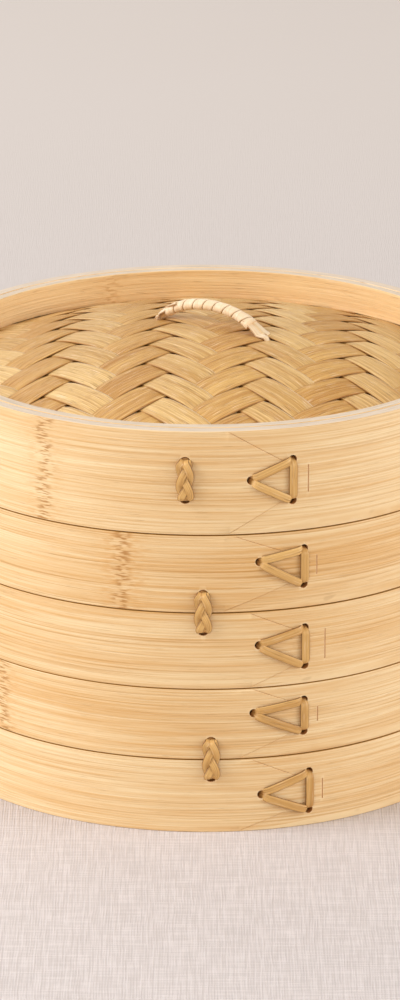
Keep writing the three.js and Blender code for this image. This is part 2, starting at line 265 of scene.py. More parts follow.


# grain: how fine the fibre pattern is across the strip; lines: strength of the darker fibre lines.
# In each look, the colour used where "cut" is -1 is painted shade along band seams, strip edges and the
# base's foot on the cloth.
bambooLooks = {
    "hoop": {
        "pale": rgba(0.88, 0.655, 0.366), "deep": rgba(0.66, 0.32, 0.07), "cutEdge": rgba(0.72, 0.565, 0.405),
        "grain": 1.0, "fine": 0.75, "coarse": 0.75, "lines": 0.85, "specks": 0.35, "node": 1.0, "rough": 0.44,
        "soot": rgba(0.46, 0.215, 0.035), "gloss": 0.3, "sheen": 0.04, "bump": 0.00006,
    },
    "inner": {
        "pale": rgba(0.87, 0.61, 0.305), "deep": rgba(0.66, 0.37, 0.13), "cutEdge": rgba(0.72, 0.565, 0.40),
        "grain": 0.9, "fine": 0.5, "coarse": 0.7, "lines": 0.2, "specks": 0.5, "node": 0.45, "rough": 0.52,
        "soot": rgba(0.32, 0.14, 0.03), "gloss": 0.2, "sheen": 0.04, "bump": 0.00008,
    },
    "slat": {
        "pale": rgba(0.82, 0.60, 0.33), "deep": rgba(0.66, 0.40, 0.16), "cutEdge": rgba(0.84, 0.64, 0.40),
        "grain": 1.0, "fine": 0.6, "coarse": 0.6, "lines": 0.4, "specks": 0.7, "node": 0.6, "rough": 0.6,
        "soot": rgba(0.45, 0.20, 0.05), "gloss": 0.2, "sheen": 0.15, "bump": 0.00010,
    },
    # The woven strips use lit and shaded copies of one bamboo: the rising set is painted darker and more
    # orange as painted shade, the falling set paler as a painted reflection, and the falling set's bright
    # cut-edge colour is a painted highlight.
    "weaveWarm": {
        "pale": rgba(0.72, 0.42, 0.127), "deep": rgba(0.45, 0.20, 0.038), "cutEdge": rgba(0.62, 0.36, 0.13),
        "grain": 1.3, "fine": 1.4, "coarse": 1.1, "lines": 1.2, "specks": 1.4, "node": 0.3, "rough": 0.40,
        "soot": rgba(0.30, 0.11, 0.02), "gloss": 0.25, "sheen": 0.0, "bump": 0.00010,
    },
    "weavePale": {
        "pale": rgba(0.84, 0.56, 0.228), "deep": rgba(0.53, 0.28, 0.075), "cutEdge": rgba(0.95, 0.78, 0.52),
        "grain": 1.3, "fine": 1.4, "coarse": 1.1, "lines": 1.2, "specks": 1.4, "node": 0.3, "rough": 0.40,
        "soot": rgba(0.34, 0.13, 0.025), "gloss": 0.25, "sheen": 0.0, "bump": 0.00010,
    },
    "lining": {
        "pale": rgba(0.66, 0.29, 0.07), "deep": rgba(0.50, 0.19, 0.035), "cutEdge": rgba(0.7, 0.5, 0.3),
        "grain": 1.4, "fine": 0.8, "coarse": 0.8, "lines": 0.5, "specks": 0.5, "node": 0.4, "rough": 0.6,
        "soot": rgba(0.30, 0.12, 0.03), "gloss": 0.2, "sheen": 0.0, "bump": 0.00010,
    },
    "rattan": {
        "pale": rgba(0.77, 0.47, 0.165), "deep": rgba(0.42, 0.185, 0.038), "cutEdge": rgba(0.7, 0.5, 0.3),
        "grain": 1.0, "fine": 0.9, "coarse": 0.8, "lines": 1.1, "specks": 0.8, "node": 0.0, "rough": 0.40,
        "soot": rgba(0.15, 0.052, 0.012), "gloss": 0.3, "sheen": 0.0, "bump": 0.00008,
    },
    # The cane's dark cut-edge colour is painted shade, laid in the grooves between turns of the winding.
    "cane": {
        "pale": rgba(0.90, 0.71, 0.47), "deep": rgba(0.74, 0.48, 0.23), "cutEdge": rgba(0.42, 0.22, 0.09),
        "grain": 1.4, "fine": 0.7, "coarse": 0.6, "lines": 0.3, "specks": 0.3, "node": 0.0, "rough": 0.40,
        "soot": rgba(0.42, 0.22, 0.09), "gloss": 0.3, "sheen": 0.1, "bump": 0.00006,
    },
}

# Each noise: repeats in a metre along u and across v, the level it is cut at, its detail and roughness.
fibres = {
    "drift": (9, 70, 0.0, 2.0, 0.5),
    "coarse": (7, 560, 3.0, 3.0, 0.7),
    "fine": (22, 1500, 7.0, 3.0, 0.65),
    "vessel": (130, 2300, 11.0, 1.0, 0.5),
    "streak": (6, 1450, 17.0, 2.0, 0.6),
    "patch": (14, 90, 29.0, 2.0, 0.5),
    "dash": (240, 1300, 5.0, 1.0, 0.5),
    "layer": (60, 2600, 23.0, 2.0, 0.5),
}
fibreColours = {
    "line": rgba(0.58, 0.30, 0.09), "vessel": rgba(0.36, 0.17, 0.05), "glint": rgba(0.92, 0.72, 0.50),
    "joint": rgba(0.44, 0.20, 0.055), "halo": rgba(0.66, 0.31, 0.075),
}
# Between two joints of the cane, how far a joint strays, and where its marks end.
caneJoint = {"spacing": 0.31, "stray": 8 * mm, "core": 0.4 * mm, "reach": 4.5 * mm, "halo": 13 * mm}


def bambooFinish(name, look):
    # Split bamboo: long fibres along u, tone drifting across v, short dark vessels, and a dashed ring at
    # each joint of the cane. "cut" is 1 on the pale cut edge and -1 on an edge with painted shade: in the
    # seams between bands, along the base's foot on the cloth and along strip edges. On the falling woven
    # strips one edge at 1 is a painted highlight, and on the cane the grooves at 1 take a dark edge colour as
    # painted shade. "tone" shifts a strip's colour.
    g = Graph(name)
    grain = g.node("ShaderNodeUVMap", {}, uv_map="grain").outputs[0]
    split = g.node("ShaderNodeSeparateXYZ", {0: grain})
    u = split.outputs[0]
    v = g.times(split.outputs[1], look["grain"])

    def fibre(kind):
        along, across, level, detail, roughness = fibres[kind]
        place = g.vector(g.times(u, along), g.times(v, across), level)
        return g.noise(place, detail, roughness)

    drift = fibre("drift")
    coarse = fibre("coarse")
    fine = fibre("fine")
    vessel = fibre("vessel")
    streak = fibre("streak")
    patch = fibre("patch")

    amount = g.linear(g.step(coarse, 0.36, 0.64), look["coarse"] * 0.42, 0.0)
    amount = g.linear(g.step(fine, 0.36, 0.66), look["fine"] * 0.42, amount)
    amount = g.linear(g.step(drift, 0.35, 0.7), 0.26, amount)
    tone = g.attribute("tone")
    amount = g.math("ADD", amount, g.linear(tone, 0.6, -0.34))
    amount = g.node("ShaderNodeClamp", {0: amount}).outputs[0]
    colour = g.mix(amount, look["pale"], look["deep"])

    lines = g.times(g.step(streak, 0.52, 0.64), g.step(patch, 0.34, 0.58))
    lines = g.times(lines, g.linear(tone, 1.4 * look["lines"], 0.15 * look["lines"]))
    colour = g.mix(lines, colour, fibreColours["line"])
    dark = g.times(g.step(vessel, 0.64, 0.76), look["specks"] * 0.6)
    colour = g.mix(dark, colour, fibreColours["vessel"])
    light = g.times(g.step(vessel, 0.40, 0.28), look["specks"] * 0.35)
    colour = g.mix(light, colour, fibreColours["glint"])

    if look["node"]:
        turn = g.math("FRACT", g.linear(u, 1 / caneJoint["spacing"], 0.5))
        offset = g.times(g.math("SUBTRACT", turn, 0.5), caneJoint["spacing"])
        stray = g.noise(g.vector(5.0, g.times(v, 110), 2.0), 2.0)
        offset = g.linear(g.math("SUBTRACT", stray, 0.5), caneJoint["stray"], offset)
        distance = g.math("ABSOLUTE", offset)
        dashes = fibre("dash")
        near = g.math("SUBTRACT", 1.0, g.step(distance, caneJoint["core"], caneJoint["reach"]))
        mark = g.times(near, g.step(dashes, 0.47, 0.60))
        halo = g.math("SUBTRACT", 1.0, g.step(distance, 0.0, caneJoint["halo"]))
        halo = g.times(halo, g.linear(tone, 0.9, 0.1))
        halo = g.times(halo, g.times(g.step(dashes, 0.42, 0.62), look["node"]))
        colour = g.mix(halo, colour, fibreColours["halo"])
        colour = g.mix(g.times(mark, 0.8 * look["node"]), colour, fibreColours["joint"])

    cut = g.attribute("cut")
    layers = fibre("layer")
    darkEdge = rgba(*(0.78 * c for c in look["cutEdge"][:3]))
    edgeAndPaintedLightColour = g.mix(g.step(layers, 0.4, 0.65), look["cutEdge"], darkEdge)
    colour = g.mix(g.math("MAXIMUM", cut, 0.0), colour, edgeAndPaintedLightColour)
    # Painted shade: where "cut" is below 0 the colour turns to the look's shade colour.
    soot = g.math("MAXIMUM", g.times(cut, -1.0), 0.0)
    colour = g.mix(soot, colour, look["soot"])
    roughness = g.linear(fine, 0.16, look["rough"] - 0.08)
    roughness = g.linear(g.math("ABSOLUTE", cut), 0.2, roughness)
    g.surface({"Base Color": colour, "Roughness": roughness, "Specular IOR Level": look["gloss"]})
    g.surface({"Sheen Weight": look["sheen"], "Sheen Roughness": 0.5})
    height = g.math("ADD", g.times(coarse, 1.2), g.linear(fine, 0.9, dark))
    g.bumps(height, look["bump"] * 4, 0.8)
    return g.material


def burntFinish(name, dark, light):
    # The scorched walls of drilled holes and sawn slits.
    g = Graph(name)
    place = g.node("ShaderNodeTexCoord", {}).outputs["Object"]
    grit = g.noise(g.scaled(place, 900), 3.0)
    g.surface({"Base Color": g.mix(grit, dark, light), "Roughness": 0.8, "Specular IOR Level": 0.15})
    g.bumps(grit, 0.2 * mm, 0.6)
    return g.material


# Repeats in a metre; bend: how far a thread strays, in threads; fade: where the threads fade out.
cloth = {
    "threads": 1100, "slubs": 55, "wander": 45, "patches": 4, "bend": 2.2, "fade": (0.1, 1.1),
    "low": rgba(0.572, 0.498, 0.450), "high": rgba(0.72, 0.638, 0.587), "smooth": rgba(0.625, 0.549, 0.482),
    "patch": rgba(0.65, 0.575, 0.522),
}


def linenFinish():
    # A pale plain-woven cloth: two crossed sets of threads with uneven thickness.
    g = Graph("linen")
    place = g.node("ShaderNodeTexCoord", {}).outputs["Object"]
    split = g.node("ShaderNodeSeparateXYZ", {0: place})
    x = split.outputs[0]
    y = split.outputs[1]
    wander = g.noise(g.scaled(place, cloth["wander"]), 3.0)
    threads = []
    for along, over, level in ((x, y, 1.0), (y, x, 9.0)):
        count = g.linear(wander, cloth["bend"], g.times(over, cloth["threads"]))
        ridge = g.linear(g.math("SINE", g.times(count, 2 * math.pi)), 0.5, 0.5)
        across = g.times(over, cloth["threads"])
        slub = g.noise(g.vector(g.times(along, cloth["slubs"]), across, level), 2.0)
        ridge = g.times(ridge, 0.6)
        threads.append(g.linear(g.step(slub, 0.35, 0.7), 0.9, ridge))
    smooth = g.step(y, *cloth["fade"])
    woven = g.linear(smooth, -1.0, 1.0)
    height = g.times(g.math("ADD", threads[0], threads[1]), woven)
    patch = g.noise(g.scaled(place, cloth["patches"]), 2.0)
    # Painted shade between threads: the cloth is darker where its threads lie low and paler where they stand
    # high.
    colour = g.mix(g.step(height, 0.6, 2.2), cloth["low"], cloth["high"])
    colour = g.mix(smooth, colour, cloth["smooth"])
    colour = g.mix(g.times(patch, 0.25), colour, cloth["patch"])
    g.surface({"Base Color": colour, "Roughness": 0.9, "Specular IOR Level": 0.2})
    g.bumps(height, 0.25 * mm, 0.5)
    return g.material


finishes = {name: bambooFinish(name, look) for name, look in bambooLooks.items()}
finishes["burnt"] = burntFinish("holeWall", rgba(0.40, 0.175, 0.055), rgba(0.62, 0.32, 0.12))
finishes["sawn"] = burntFinish("slitWall", rgba(0.66, 0.38, 0.17), rgba(0.84, 0.60, 0.36))
finishes["linen"] = linenFinish()
print("finishes made:", len(finishes))

bodies = ("lid", "upper_tier", "lower_tier")

# reach: how far a band goes into the gap to the next one.
hoopShape = {
    "columns": 720, "wall": 4 * mm, "innerWall": 3.6 * mm, "floorWall": 3.5 * mm, "edge": 0.3 * mm,
    "proud": 0.3 * mm, "crevice": 0.26 * mm, "creviceDepth": 0.35 * mm, "creviceFade": 0.25 * mm,
    "tipHeight": 3 * mm, "slitWide": 0.5 * mm, "slitDepth": 0.3 * mm, "reach": 0.1 * mm,
}

# nodeAt: azimuth of the cane's joint; start: where the tongue begins to narrow, at the top and at the bottom;
# tip: azimuth of the slit; slit: its height; point: how far the left lacing hole is above the others' middle.
laps = {
    "lid_outer_hoop": {
        "nodeAt": -33, "start": (4.1, 4.0), "tip": 20.5, "slit": 9.9, "point": 0.9,
        "tone": 0.26, "seed": 3,
    },
    "upper_tier_rim_hoop": {
        "nodeAt": -16.4, "start": (5.0, 2.6), "tip": 22.4, "slit": 7.0,
        "point": 3.1, "tone": 0.52, "seed": 5,
    },
    "upper_tier_base_hoop": {
        "nodeAt": 118, "start": (8.1, 8.2), "tip": 24.3, "slit": 11.0,
        "point": 2.0, "tone": 0.44, "seed": 8,
    },
    "lower_tier_rim_hoop": {
        "nodeAt": -44.5, "start": (8.8, 6.0), "tip": 22.8, "slit": 5.6,
        "point": 2.7, "tone": 0.38, "seed": 13,
    },
    "lower_tier_base_hoop": {
        "nodeAt": 85, "start": (8.6, 6.0), "tip": 24.0, "slit": 7.6,
        "point": 0.5, "tone": 0.34, "seed": 21,
    },
}


def bodyOf(node):
    return next(name for name in bodies if node.startswith(name))


def lacingOf(node):
    return node.replace("_outer", "").replace("hoop", "lacing")


def hoopSize(node):
    # topArris and bottomArris: "cut" of the outer corners, 1 on a pale one and -1 on one painted with shade.
    low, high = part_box(node)
    return {"bottom": low.z, "top": high.z, "outside": high.x, "topArris": 1.0, "bottomArris": 1.0}


def lacingHoles(node):
    # Left, upper right and lower right hole as (azimuth, height), from the box of the CAD lacing.
    low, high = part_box(lacingOf(node))
    half = strandShape["cadWidth"] / 2
    reach = bandRadius + strandShape["cadStandOff"]
    left = math.degrees(math.asin((low.x + half) / reach))
    right = math.degrees(math.asin((high.x - half) / reach))
    top = high.z - half
    bottom = low.z + half
    return [(left, (top + bottom) / 2 + laps[node]["point"] * mm), (right, top), (right, bottom)]


def bandPart(size, inside, seed, nodeAt, lap=None, holes=None, waviness=0.1 * mm):
    # A band bent round a circle, as (radius, height) rows round its section for every azimuth. The outer
    # face's rows follow the two edges of the tongue, which stands proud of the face with a fine crevice along
    # its edges.
    edge = hoopShape["edge"]
    azimuth = np.arange(hoopShape["columns"]) / hoopShape["columns"] * 360 + nodeAt - 180
    around = (azimuth + 180) % 360 - 180
    outside = size["outside"]
    top = size["top"] - waviness * (1 + wave(azimuth, seed))
    bottom = size["bottom"] + waviness * (1 + wave(azimuth, seed + 100)) * (size["bottom"] > mm)
    low = bottom + edge
    high = top - edge
    zero = 0 * azimuth
    tongueLow = low + edge
    tongueHigh = high - edge
    proud = depthLow = depthHigh = zero
    if lap:
        tip = lap["tip"]
        middle = (holes[1][1] + holes[2][1]) / 2
        half = hoopShape["tipHeight"] / 2
        shares = [np.clip((around - start) / (tip - start), 0, 1) for start in lap["start"]]
        edgeHigh = size["top"] + (middle + half - size["top"]) * shares[0]
        edgeLow = size["bottom"] + (middle - half - size["bottom"]) * shares[1]
        fade = hoopShape["creviceFade"]
        deep = hoopShape["creviceDepth"] * (1 - smoothStep(around, holes[1][0] - 2, holes[1][0] + 1))
        depthHigh = deep * smoothStep(tongueHigh - edgeHigh, 0, fade)
        depthLow = deep * smoothStep(edgeLow - tongueLow, 0, fade)
        tongueHigh = np.minimum(tongueHigh, edgeHigh)
        tongueLow = np.maximum(tongueLow, edgeLow)
        start = min(lap["start"])
        proud = hoopShape["proud"] * smoothStep(around, start - 3, start + 7)
        proud = proud * (1 - smoothStep(around, holes[1][0] - 1, tip - 0.5))
    gap = hoopShape["crevice"]
    wall = outside - inside
    turned = 2 * top + wall
    arc = [(a, edge * (1 - math.cos(a)), edge * math.sin(a)) for a in np.linspace(0, math.pi / 2, 5)]
    topFrom, bottomFrom = (1.0 if size[key] > 0 else 0.7 for key in ("topArris", "bottomArris"))
    rows = []

    def row(radius, height, v, cut=0.0):
        rows.append(np.stack([radius + zero, height + zero, v + zero, cut + zero], -1))

    for share in np.linspace(0.2, 1, 6):
        height = low + (tongueLow - gap - low) * share
        row(outside, height, height)
    row(outside - depthLow, tongueLow - gap / 2, tongueLow - gap / 2)
    for share in np.linspace(0, 1, 12):
        height = tongueLow + (tongueHigh - tongueLow) * share
        row(outside + proud, height, height)
    row(outside - depthHigh, tongueHigh + gap / 2, tongueHigh + gap / 2)
    for share in np.linspace(0, 0.8, 6):
        height = tongueHigh + gap + (high - tongueHigh - gap) * share
        row(outside, height, height)
    for a, back, rise in arc:
        row(outside - back, high + rise, high + rise + back, size["topArris"] * (a > topFrom))
    for share in (0.2, 0.4, 0.6, 0.85):
        back = edge + (wall - 2 * edge) * share
        row(outside - back, top, top + back, size["topArris"] if share < 0.3 else 1.0)
    for a, back, rise in arc[::-1]:
        row(inside + back, high + rise, turned - (high + rise), float(a > 1.2))
    for share in np.linspace(0.1, 0.9, 7):
        height = high + (low - high) * share
        row(inside, height, turned - height)
    for a, back, rise in arc:
        row(inside + back, low - rise, turned - (low - rise), float(a > 1.2))
    for share in (0.15, 0.4, 0.6, 0.8):
        back = edge + (wall - 2 * edge) * share
        row(inside + back, bottom, turned - bottom + back, size["bottomArris"] if share > 0.7 else 1.0)
    for a, back, rise in arc[::-1]:
        v = turned - bottom + wall + (low - rise) - bottom
        row(outside - back, low - rise, v, size["bottomArris"] * (a > bottomFrom))
    rows = np.stack(rows, 1)
    points = onCylinder(azimuth[:, None], rows[..., 0], rows[..., 1])
    v = np.concatenate([rows[..., 2], rows[:, -1:, 2] + edge], 1) + 0.173 * seed
    v = np.concatenate([v, v[:1]], 0)
    u = np.radians(np.append(azimuth, azimuth[0] + 360) - nodeAt) * outside
    u = np.repeat(u[:, None], v.shape[1], 1)
    return gridPart(points, u, v, closeU=True, closeV=True, cut=rows[..., 3])


def barPart(start, end, radius, count=20):
    # A round bar between two points: its circle is start + radius * (cos a, sin a) across the axis.
    start = np.array(start)
    end = np.array(end)
    axis = (end - start) / np.linalg.norm(end - start)
    side = np.cross(axis, [0, 0, 1.0])
    side = side / np.linalg.norm(side)
    other = np.cross(axis, side)
    angle = np.arange(count) / count * 2 * math.pi
    ring = radius * (np.cos(angle)[:, None] * side + np.sin(angle)[:, None] * other)
    return prismPart(np.stack([start + ring, end + ring]))


def prismPart(points):
    u, v = np.meshgrid(np.arange(2) * mm, np.arange(points.shape[1] + 1) * mm, indexing="ij")
    return tubePart(points, u, v)


def slotPart(azimuth, height, tall, wide, inner, outer):
    # A thin upright box pointing outwards.
    half = math.degrees(wide / 2 / outer)
    corners = []
    for radius in (inner, outer):
        for a, z in ((-half, -tall / 2), (half, -tall / 2), (half, tall / 2), (-half, tall / 2)):
            corners.append(onCylinder(azimuth + a, radius, height + z))
    return prismPart(np.array(corners).reshape(2, 4, 3))


def carve(piece, cutters, smoothAngle=40):
    # Subtracts each cutter and keeps the result as plain mesh.
    for tool in cutters:
        modifier = piece.modifiers.new("carve", "BOOLEAN")
        modifier.operation = "DIFFERENCE"
        modifier.solver = "EXACT"
        modifier.material_mode = "TRANSFER"
        modifier.object = tool
    graph = bpy.context.evaluated_depsgraph_get()
    carved = bpy.data.meshes.new_from_object(piece.evaluated_get(graph))
    carved.set_sharp_from_angle(angle=math.radians(smoothAngle))
    piece.modifiers.clear()
    old = piece.data
    piece.data = carved
    bpy.data.meshes.remove(old)
    for tool in cutters:
        bpy.data.objects.remove(tool)


# cadWidth, cadStandOff: the CAD lacing's; nudge: from a hole's middle to the strand's end; inner: section of
# the runs behind the band, innerDepth into its inner face.
strandShape = {
    "cadWidth": 2.6 * mm, "cadStandOff": 1.1 * mm, "holeRadius": 1.55 * mm, "width": 3.1 * mm,
    "thickness": 0.8 * mm, "lift": 0.9 * mm, "nudge": 0.15 * mm, "dive": 2.6 * mm, "crown": 0.12 * mm,
    "innerDepth": 0.75 * mm, "inner": (2.4 * mm, 0.7 * mm),
}
# cadLeg, holeInset: from the CAD tie's end to its hole's middle; legShift: how far beyond it the legs are.
tieShape = {
    "cadLeg": 0.85 * mm, "holeInset": 1.05 * mm, "holeRadius": 2.15 * mm, "clampHole": 1.3 * mm,
    "legShift": 0.9 * mm,
}
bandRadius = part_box("lower_tier_base_hoop")[1].x
bandInside = bandRadius - hoopShape["wall"]
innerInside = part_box("lower_tier_inner_hoop")[1].x - hoopShape["innerWall"]


def tieEnds(node):
    # Azimuth and the heights of the two holes of a tie.
    low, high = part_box(node)
    inset = tieShape["cadLeg"] + tieShape["holeInset"]
    centre = (low + high) / 2
    return azimuthOf(centre), low.z + inset, high.z - inset


def tiesOf(prefix):
    return sorted(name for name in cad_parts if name.startswith(prefix + "_tie_"))


def tieCutters(prefix, low, high, inner, outer, radius, shift=0.0):
    # Bars through the holes of a body's ties that a band between two heights needs.
    parts = []
    for node in tiesOf(prefix):
        azimuth, lower, upper = tieEnds(node)
        for height in (lower - shift, upper + shift):
            if low - radius < height < high + radius:
                start = onCylinder(azimuth, inner, height)
                end = onCylinder(azimuth, outer, height)
                parts.append(barPart(start, end, radius))
    return parts


def makeOuterHoop(node, lap):
    body = bodyOf(node)
    holes = lacingHoles(node)
    size = hoopSize(node)
    size["outside"] = bandRadius
    # Painted shade on the outer corners: the top of each tier's band under the band above, and the bottom of
    # every band over the seam below or, on the lowest band, along its foot on the cloth.
    if body != "lid":
        size["topArris"] = -1.0
        size["top"] += hoopShape["reach"]
    size["bottomArris"] = -1.0
    if not node.startswith("lower_tier_base"):
        size["bottom"] -= hoopShape["reach"]
    part = bandPart(size, bandInside, lap["seed"], lap["nodeAt"], lap, holes)
    piece = makePiece(node.replace("hoop", "band"), [part], "hoop", tone=lap["tone"])
    across = (bandInside - 3 * mm, bandRadius + 3 * mm)
    tools = tieCutters(body, size["bottom"], size["top"], *across, tieShape["holeRadius"])
    for azimuth, height in holes:
        start = onCylinder(azimuth, bandInside - 2 * mm, height)
        end = onCylinder(azimuth, bandRadius + 3 * mm, height)
        tools.append(barPart(start, end, strandShape["holeRadius"]))
    middle = (holes[1][1] + holes[2][1]) / 2
    across = (bandRadius - hoopShape["slitDepth"], bandRadius + mm)
    slit = slotPart(lap["tip"], middle, lap["slit"] * mm, hoopShape["slitWide"], *across)
    carve(piece, [makePiece("holes", tools, "burnt"), makePiece("slit", [slit], "sawn")])
    settle(piece, body, "hoop_bamboo", node)


for node, lap in laps.items():
    makeOuterHoop(node, lap)
print("outer hoops made")

innerBands = {
    "lid_clamp_ring": {"nodeAt": -158, "tone": 0.45, "seed": 31},
    "lid_seat_ring": {"nodeAt": 95, "tone": 0.5, "seed": 37},
    "upper_tier_inner_hoop": {"nodeAt": 150, "tone": 0.5, "seed": 41},
    "lower_tier_inner_hoop": {"nodeAt": 40, "tone": 0.4, "seed": 43},
    "upper_tier_floor_ring": {"nodeAt": 75, "tone": 0.6, "seed": 47},
    "lower_tier_floor_ring": {"nodeAt": -120, "tone": 0.5, "seed": 53},
}
for node, look in innerBands.items():
    size = hoopSize(node)
    inside = size["outside"] - hoopShape["floorWall" if "floor" in node else "innerWall"]
    part = bandPart(size, inside, look["seed"], look["nodeAt"], waviness=0.05 * mm)
    piece = makePiece(node + "_bent", [part], "inner", tone=look["tone"])
    if "floor" not in node:
        across = (inside - 2 * mm, size["outside"] + 2 * mm)
        hole = (tieShape["clampHole"], tieShape["legShift"]) if "clamp" in node else (tieShape["holeRadius"],)
        tools = tieCutters(bodyOf(node), size["bottom"], size["top"], *across, *hole)
        if tools:
            carve(piece, [makePiece("holes", tools, "burnt")])
    settle(piece, bodyOf(node), "inner_bamboo", node)
print("inner hoops made")

weave = {
    "spacing": 12.33 * mm, "width": 11.95 * mm, "thickness": 0.62 * mm, "swing": 0.75 * mm, "sharpness": 1.7,
    "turn": -2.69, "origin": (-3.59 * mm, -31.0 * mm), "step": 1.2 * mm, "sink": 0.7 * mm, "crown": 0.12 * mm,
    "margin": 0.6 * mm,
}
lining = {
    "pitch": 12 * mm, "half": 5.8 * mm, "halfThickness": 0.25 * mm, "sink": 0.75 * mm, "margin": mm,
    "steps": 90,
}
coverLow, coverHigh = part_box("lid_woven_cover")
# reach: the strips' ends, a little under the clamp ring; narrowest: narrower strips are left out.
dome = {"radius": innerInside, "rise": 16.3 * mm, "reach": innerInside + 0.9 * mm, "narrowest": 2 * mm}
dome["edge"] = coverHigh.z - dome["rise"]


def domeHeight(x, y):
    # z = edge + rise * (1 - r^2 / radius^2)
    return dome["edge"] + dome["rise"] * (1 - (x ** 2 + y ** 2) / dome["radius"] ** 2)


def wovenStrip(index, rising, seed, draw):
    # A strip at +45 degrees (rising) or -45 degrees to the lattice's x axis. It goes over two, then under
    # two: height = swing * tanh(k cos(2 pi (s - s0) / 4)) / tanh(k), with s counted in strip spacings.
    spacing = weave["spacing"]
    sign = 1 if rising else -1
    root = math.sqrt(2)
    reach = dome["reach"]
    turn = math.radians(weave["turn"])
    rotation = np.array([[math.cos(turn), -math.sin(turn)], [math.sin(turn), math.cos(turn)]])
    along = rotation @ (np.array([1, sign]) / root)
    across = rotation @ (np.array([1, -sign]) / root)
    origin = np.array(weave["origin"]) + rotation @ np.array([spacing / root, 0])
    centre = origin @ across + index * spacing
    start = origin @ along
    low = max(centre - weave["width"] / 2, -reach + weave["margin"])
    high = min(centre + weave["width"] / 2, reach - weave["margin"])
    if high - low < dome["narrowest"]:
        return None
    x, y = superLoop(20, 0.4)
    longest = 2 * math.sqrt(reach ** 2 - min(abs(low), abs(high), abs(centre)) ** 2)
    t = np.linspace(-1, 1, int(longest / weave["step"]) + 2)[:, None]
    middle = (low + high) / 2
    side = middle + x[None, :] * (high - low) / 2
    distance = t * np.sqrt(reach ** 2 - side ** 2)
    phase = (distance - start) / spacing - ((0.5 - index) if rising else (2.5 - index))
    swing = np.cos(2 * math.pi * phase / 4)
    side = middle + (side - middle) * (1 - 0.05 * (1 - np.abs(swing)) ** 2)
    swing = np.tanh(weave["sharpness"] * swing) / math.tanh(weave["sharpness"])
    plan = side[..., None] * across + distance[..., None] * along
    edge = 1 - x[None, :] ** 2
    rise = weave["swing"] * swing + y[None, :] * weave["thickness"] / 2 + weave["crown"] * edge
    z = domeHeight(plan[..., 0], plan[..., 1]) - weave["sink"] + rise
    points = np.concatenate([plan, z[..., None]], -1)
    # Painted light on the strip edges: a painted highlight along the +x edge of each falling strip, in its
    # bright cut-edge colour, and painted shade along its other edge and along both edges of each rising
    # strip.
    lit = smoothStep(x, 0.95, 0.98) * (0.0 if rising else 1.0)
    shaded = smoothStep(-x, 0.965, 0.99) + smoothStep(x, 0.965, 0.99) * (0.8 if rising else 0.0)
    cut = (lit - 0.8 * shaded)[None, :] + 0 * t
    if not rising:
        points = points[:, ::-1]
        side = side[:, ::-1]
        distance = distance[:, ::-1]
        cut = cut[:, ::-1]
    u = closedRows(distance) + draw.uniform(0, 5)
    v = closedRows(side) + 0.37 * seed
    part = tubePart(points, u, v, cut)
    part["tone"] = draw.uniform(0.2, 0.8)
    return part


def makeCover():
    draw = np.random.default_rng(7)
    # The rising set takes the painted-shade copy of the bamboo and the falling set the painted-reflection
    # copy.
    sets = (("cover_strips_warm", True, "weaveWarm"), ("cover_strips_pale", False, "weavePale"))
    for name, rising, finish in sets:
        parts = [wovenStrip(k, rising, k + 20, draw) for k in range(-14, 15)]
        piece = makePiece(name, [part for part in parts if part], finish, smoothAngle=60)
        settle(piece, "lid", "woven_bamboo", "lid_woven_cover")


def makeLining():
    # Plain strips side by side under the cover, each following the dome.
    draw = np.random.default_rng(11)
    reach = dome["reach"]
    underside = coverLow.z - dome["edge"]
    parts = []
    x, y = superLoop(16, 0.4)
    for k in range(-8, 9):
        low = max(k * lining["pitch"] - lining["half"], -reach + lining["margin"])
        high = min(k * lining["pitch"] + lining["half"], reach - lining["margin"])
        if high - low < dome["narrowest"]:
            continue
        t = np.linspace(-1, 1, lining["steps"])[:, None]
        side = (low + high) / 2 + x[None, :] * (high - low) / 2
        distance = t * np.sqrt(reach ** 2 - side ** 2)
        z = domeHeight(side, distance) + underside - lining["sink"] + y[None, :] * lining["halfThickness"]
        points = np.stack([side + 0 * t, distance, z], -1)
        u = closedRows(distance) + draw.uniform(0, 5)
        v = closedRows(side) + 0 * u + 0.41 * k
        part = tubePart(points[:, ::-1], u[:, ::-1], v[:, ::-1])
        part["tone"] = draw.uniform(0.2, 0.8)
        parts.append(part)
    piece = makePiece("lid_lining_strips", parts, "lining", smoothAngle=60)
    settle(piece, "lid", "woven_bamboo", "lid_lining")


makeCover()
makeLining()
print("cover woven")

# half: from the arch's middle to its foot; topInset: from the winding's top to the arch's line.
handle = {
    "turn": -32.7, "pitch": 4.3 * mm, "core": 1.5 * mm, "bulge": 0.42 * mm, "rows": 420, "around": 40,
    "span": (-18.6 * mm, 17.2 * mm), "half": 21.5 * mm, "topInset": 2.3 * mm, "sink": 0.6 * mm,
}
caneCore = {"half": 24 * mm, "width": 2.4 * mm}
wrapLow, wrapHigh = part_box("handle_wrapping")
upwards = np.array([0, 0, 1.0])


def handleLine(along):
    # The arch's line: z = top - (top - crown + sink) * s^2 * (0.72 + 0.28 s^2), where s = |along| / half.
    centre = (wrapLow + wrapHigh) / 2
    turn = math.radians(handle["turn"])
    crown = domeHeight(centre.x, centre.y)
    top = wrapHigh.z - handle["topInset"]
    share = np.clip(np.abs(along) / handle["half"], 0, 1.2)
    drop = share ** 2 * (0.72 + 0.28 * share ** 2)
    z = top - (top - crown + handle["sink"]) * drop
    x = centre.x + along * math.cos(turn)
    y = centre.y + along * math.sin(turn)
    return np.stack([x, y, z], -1)


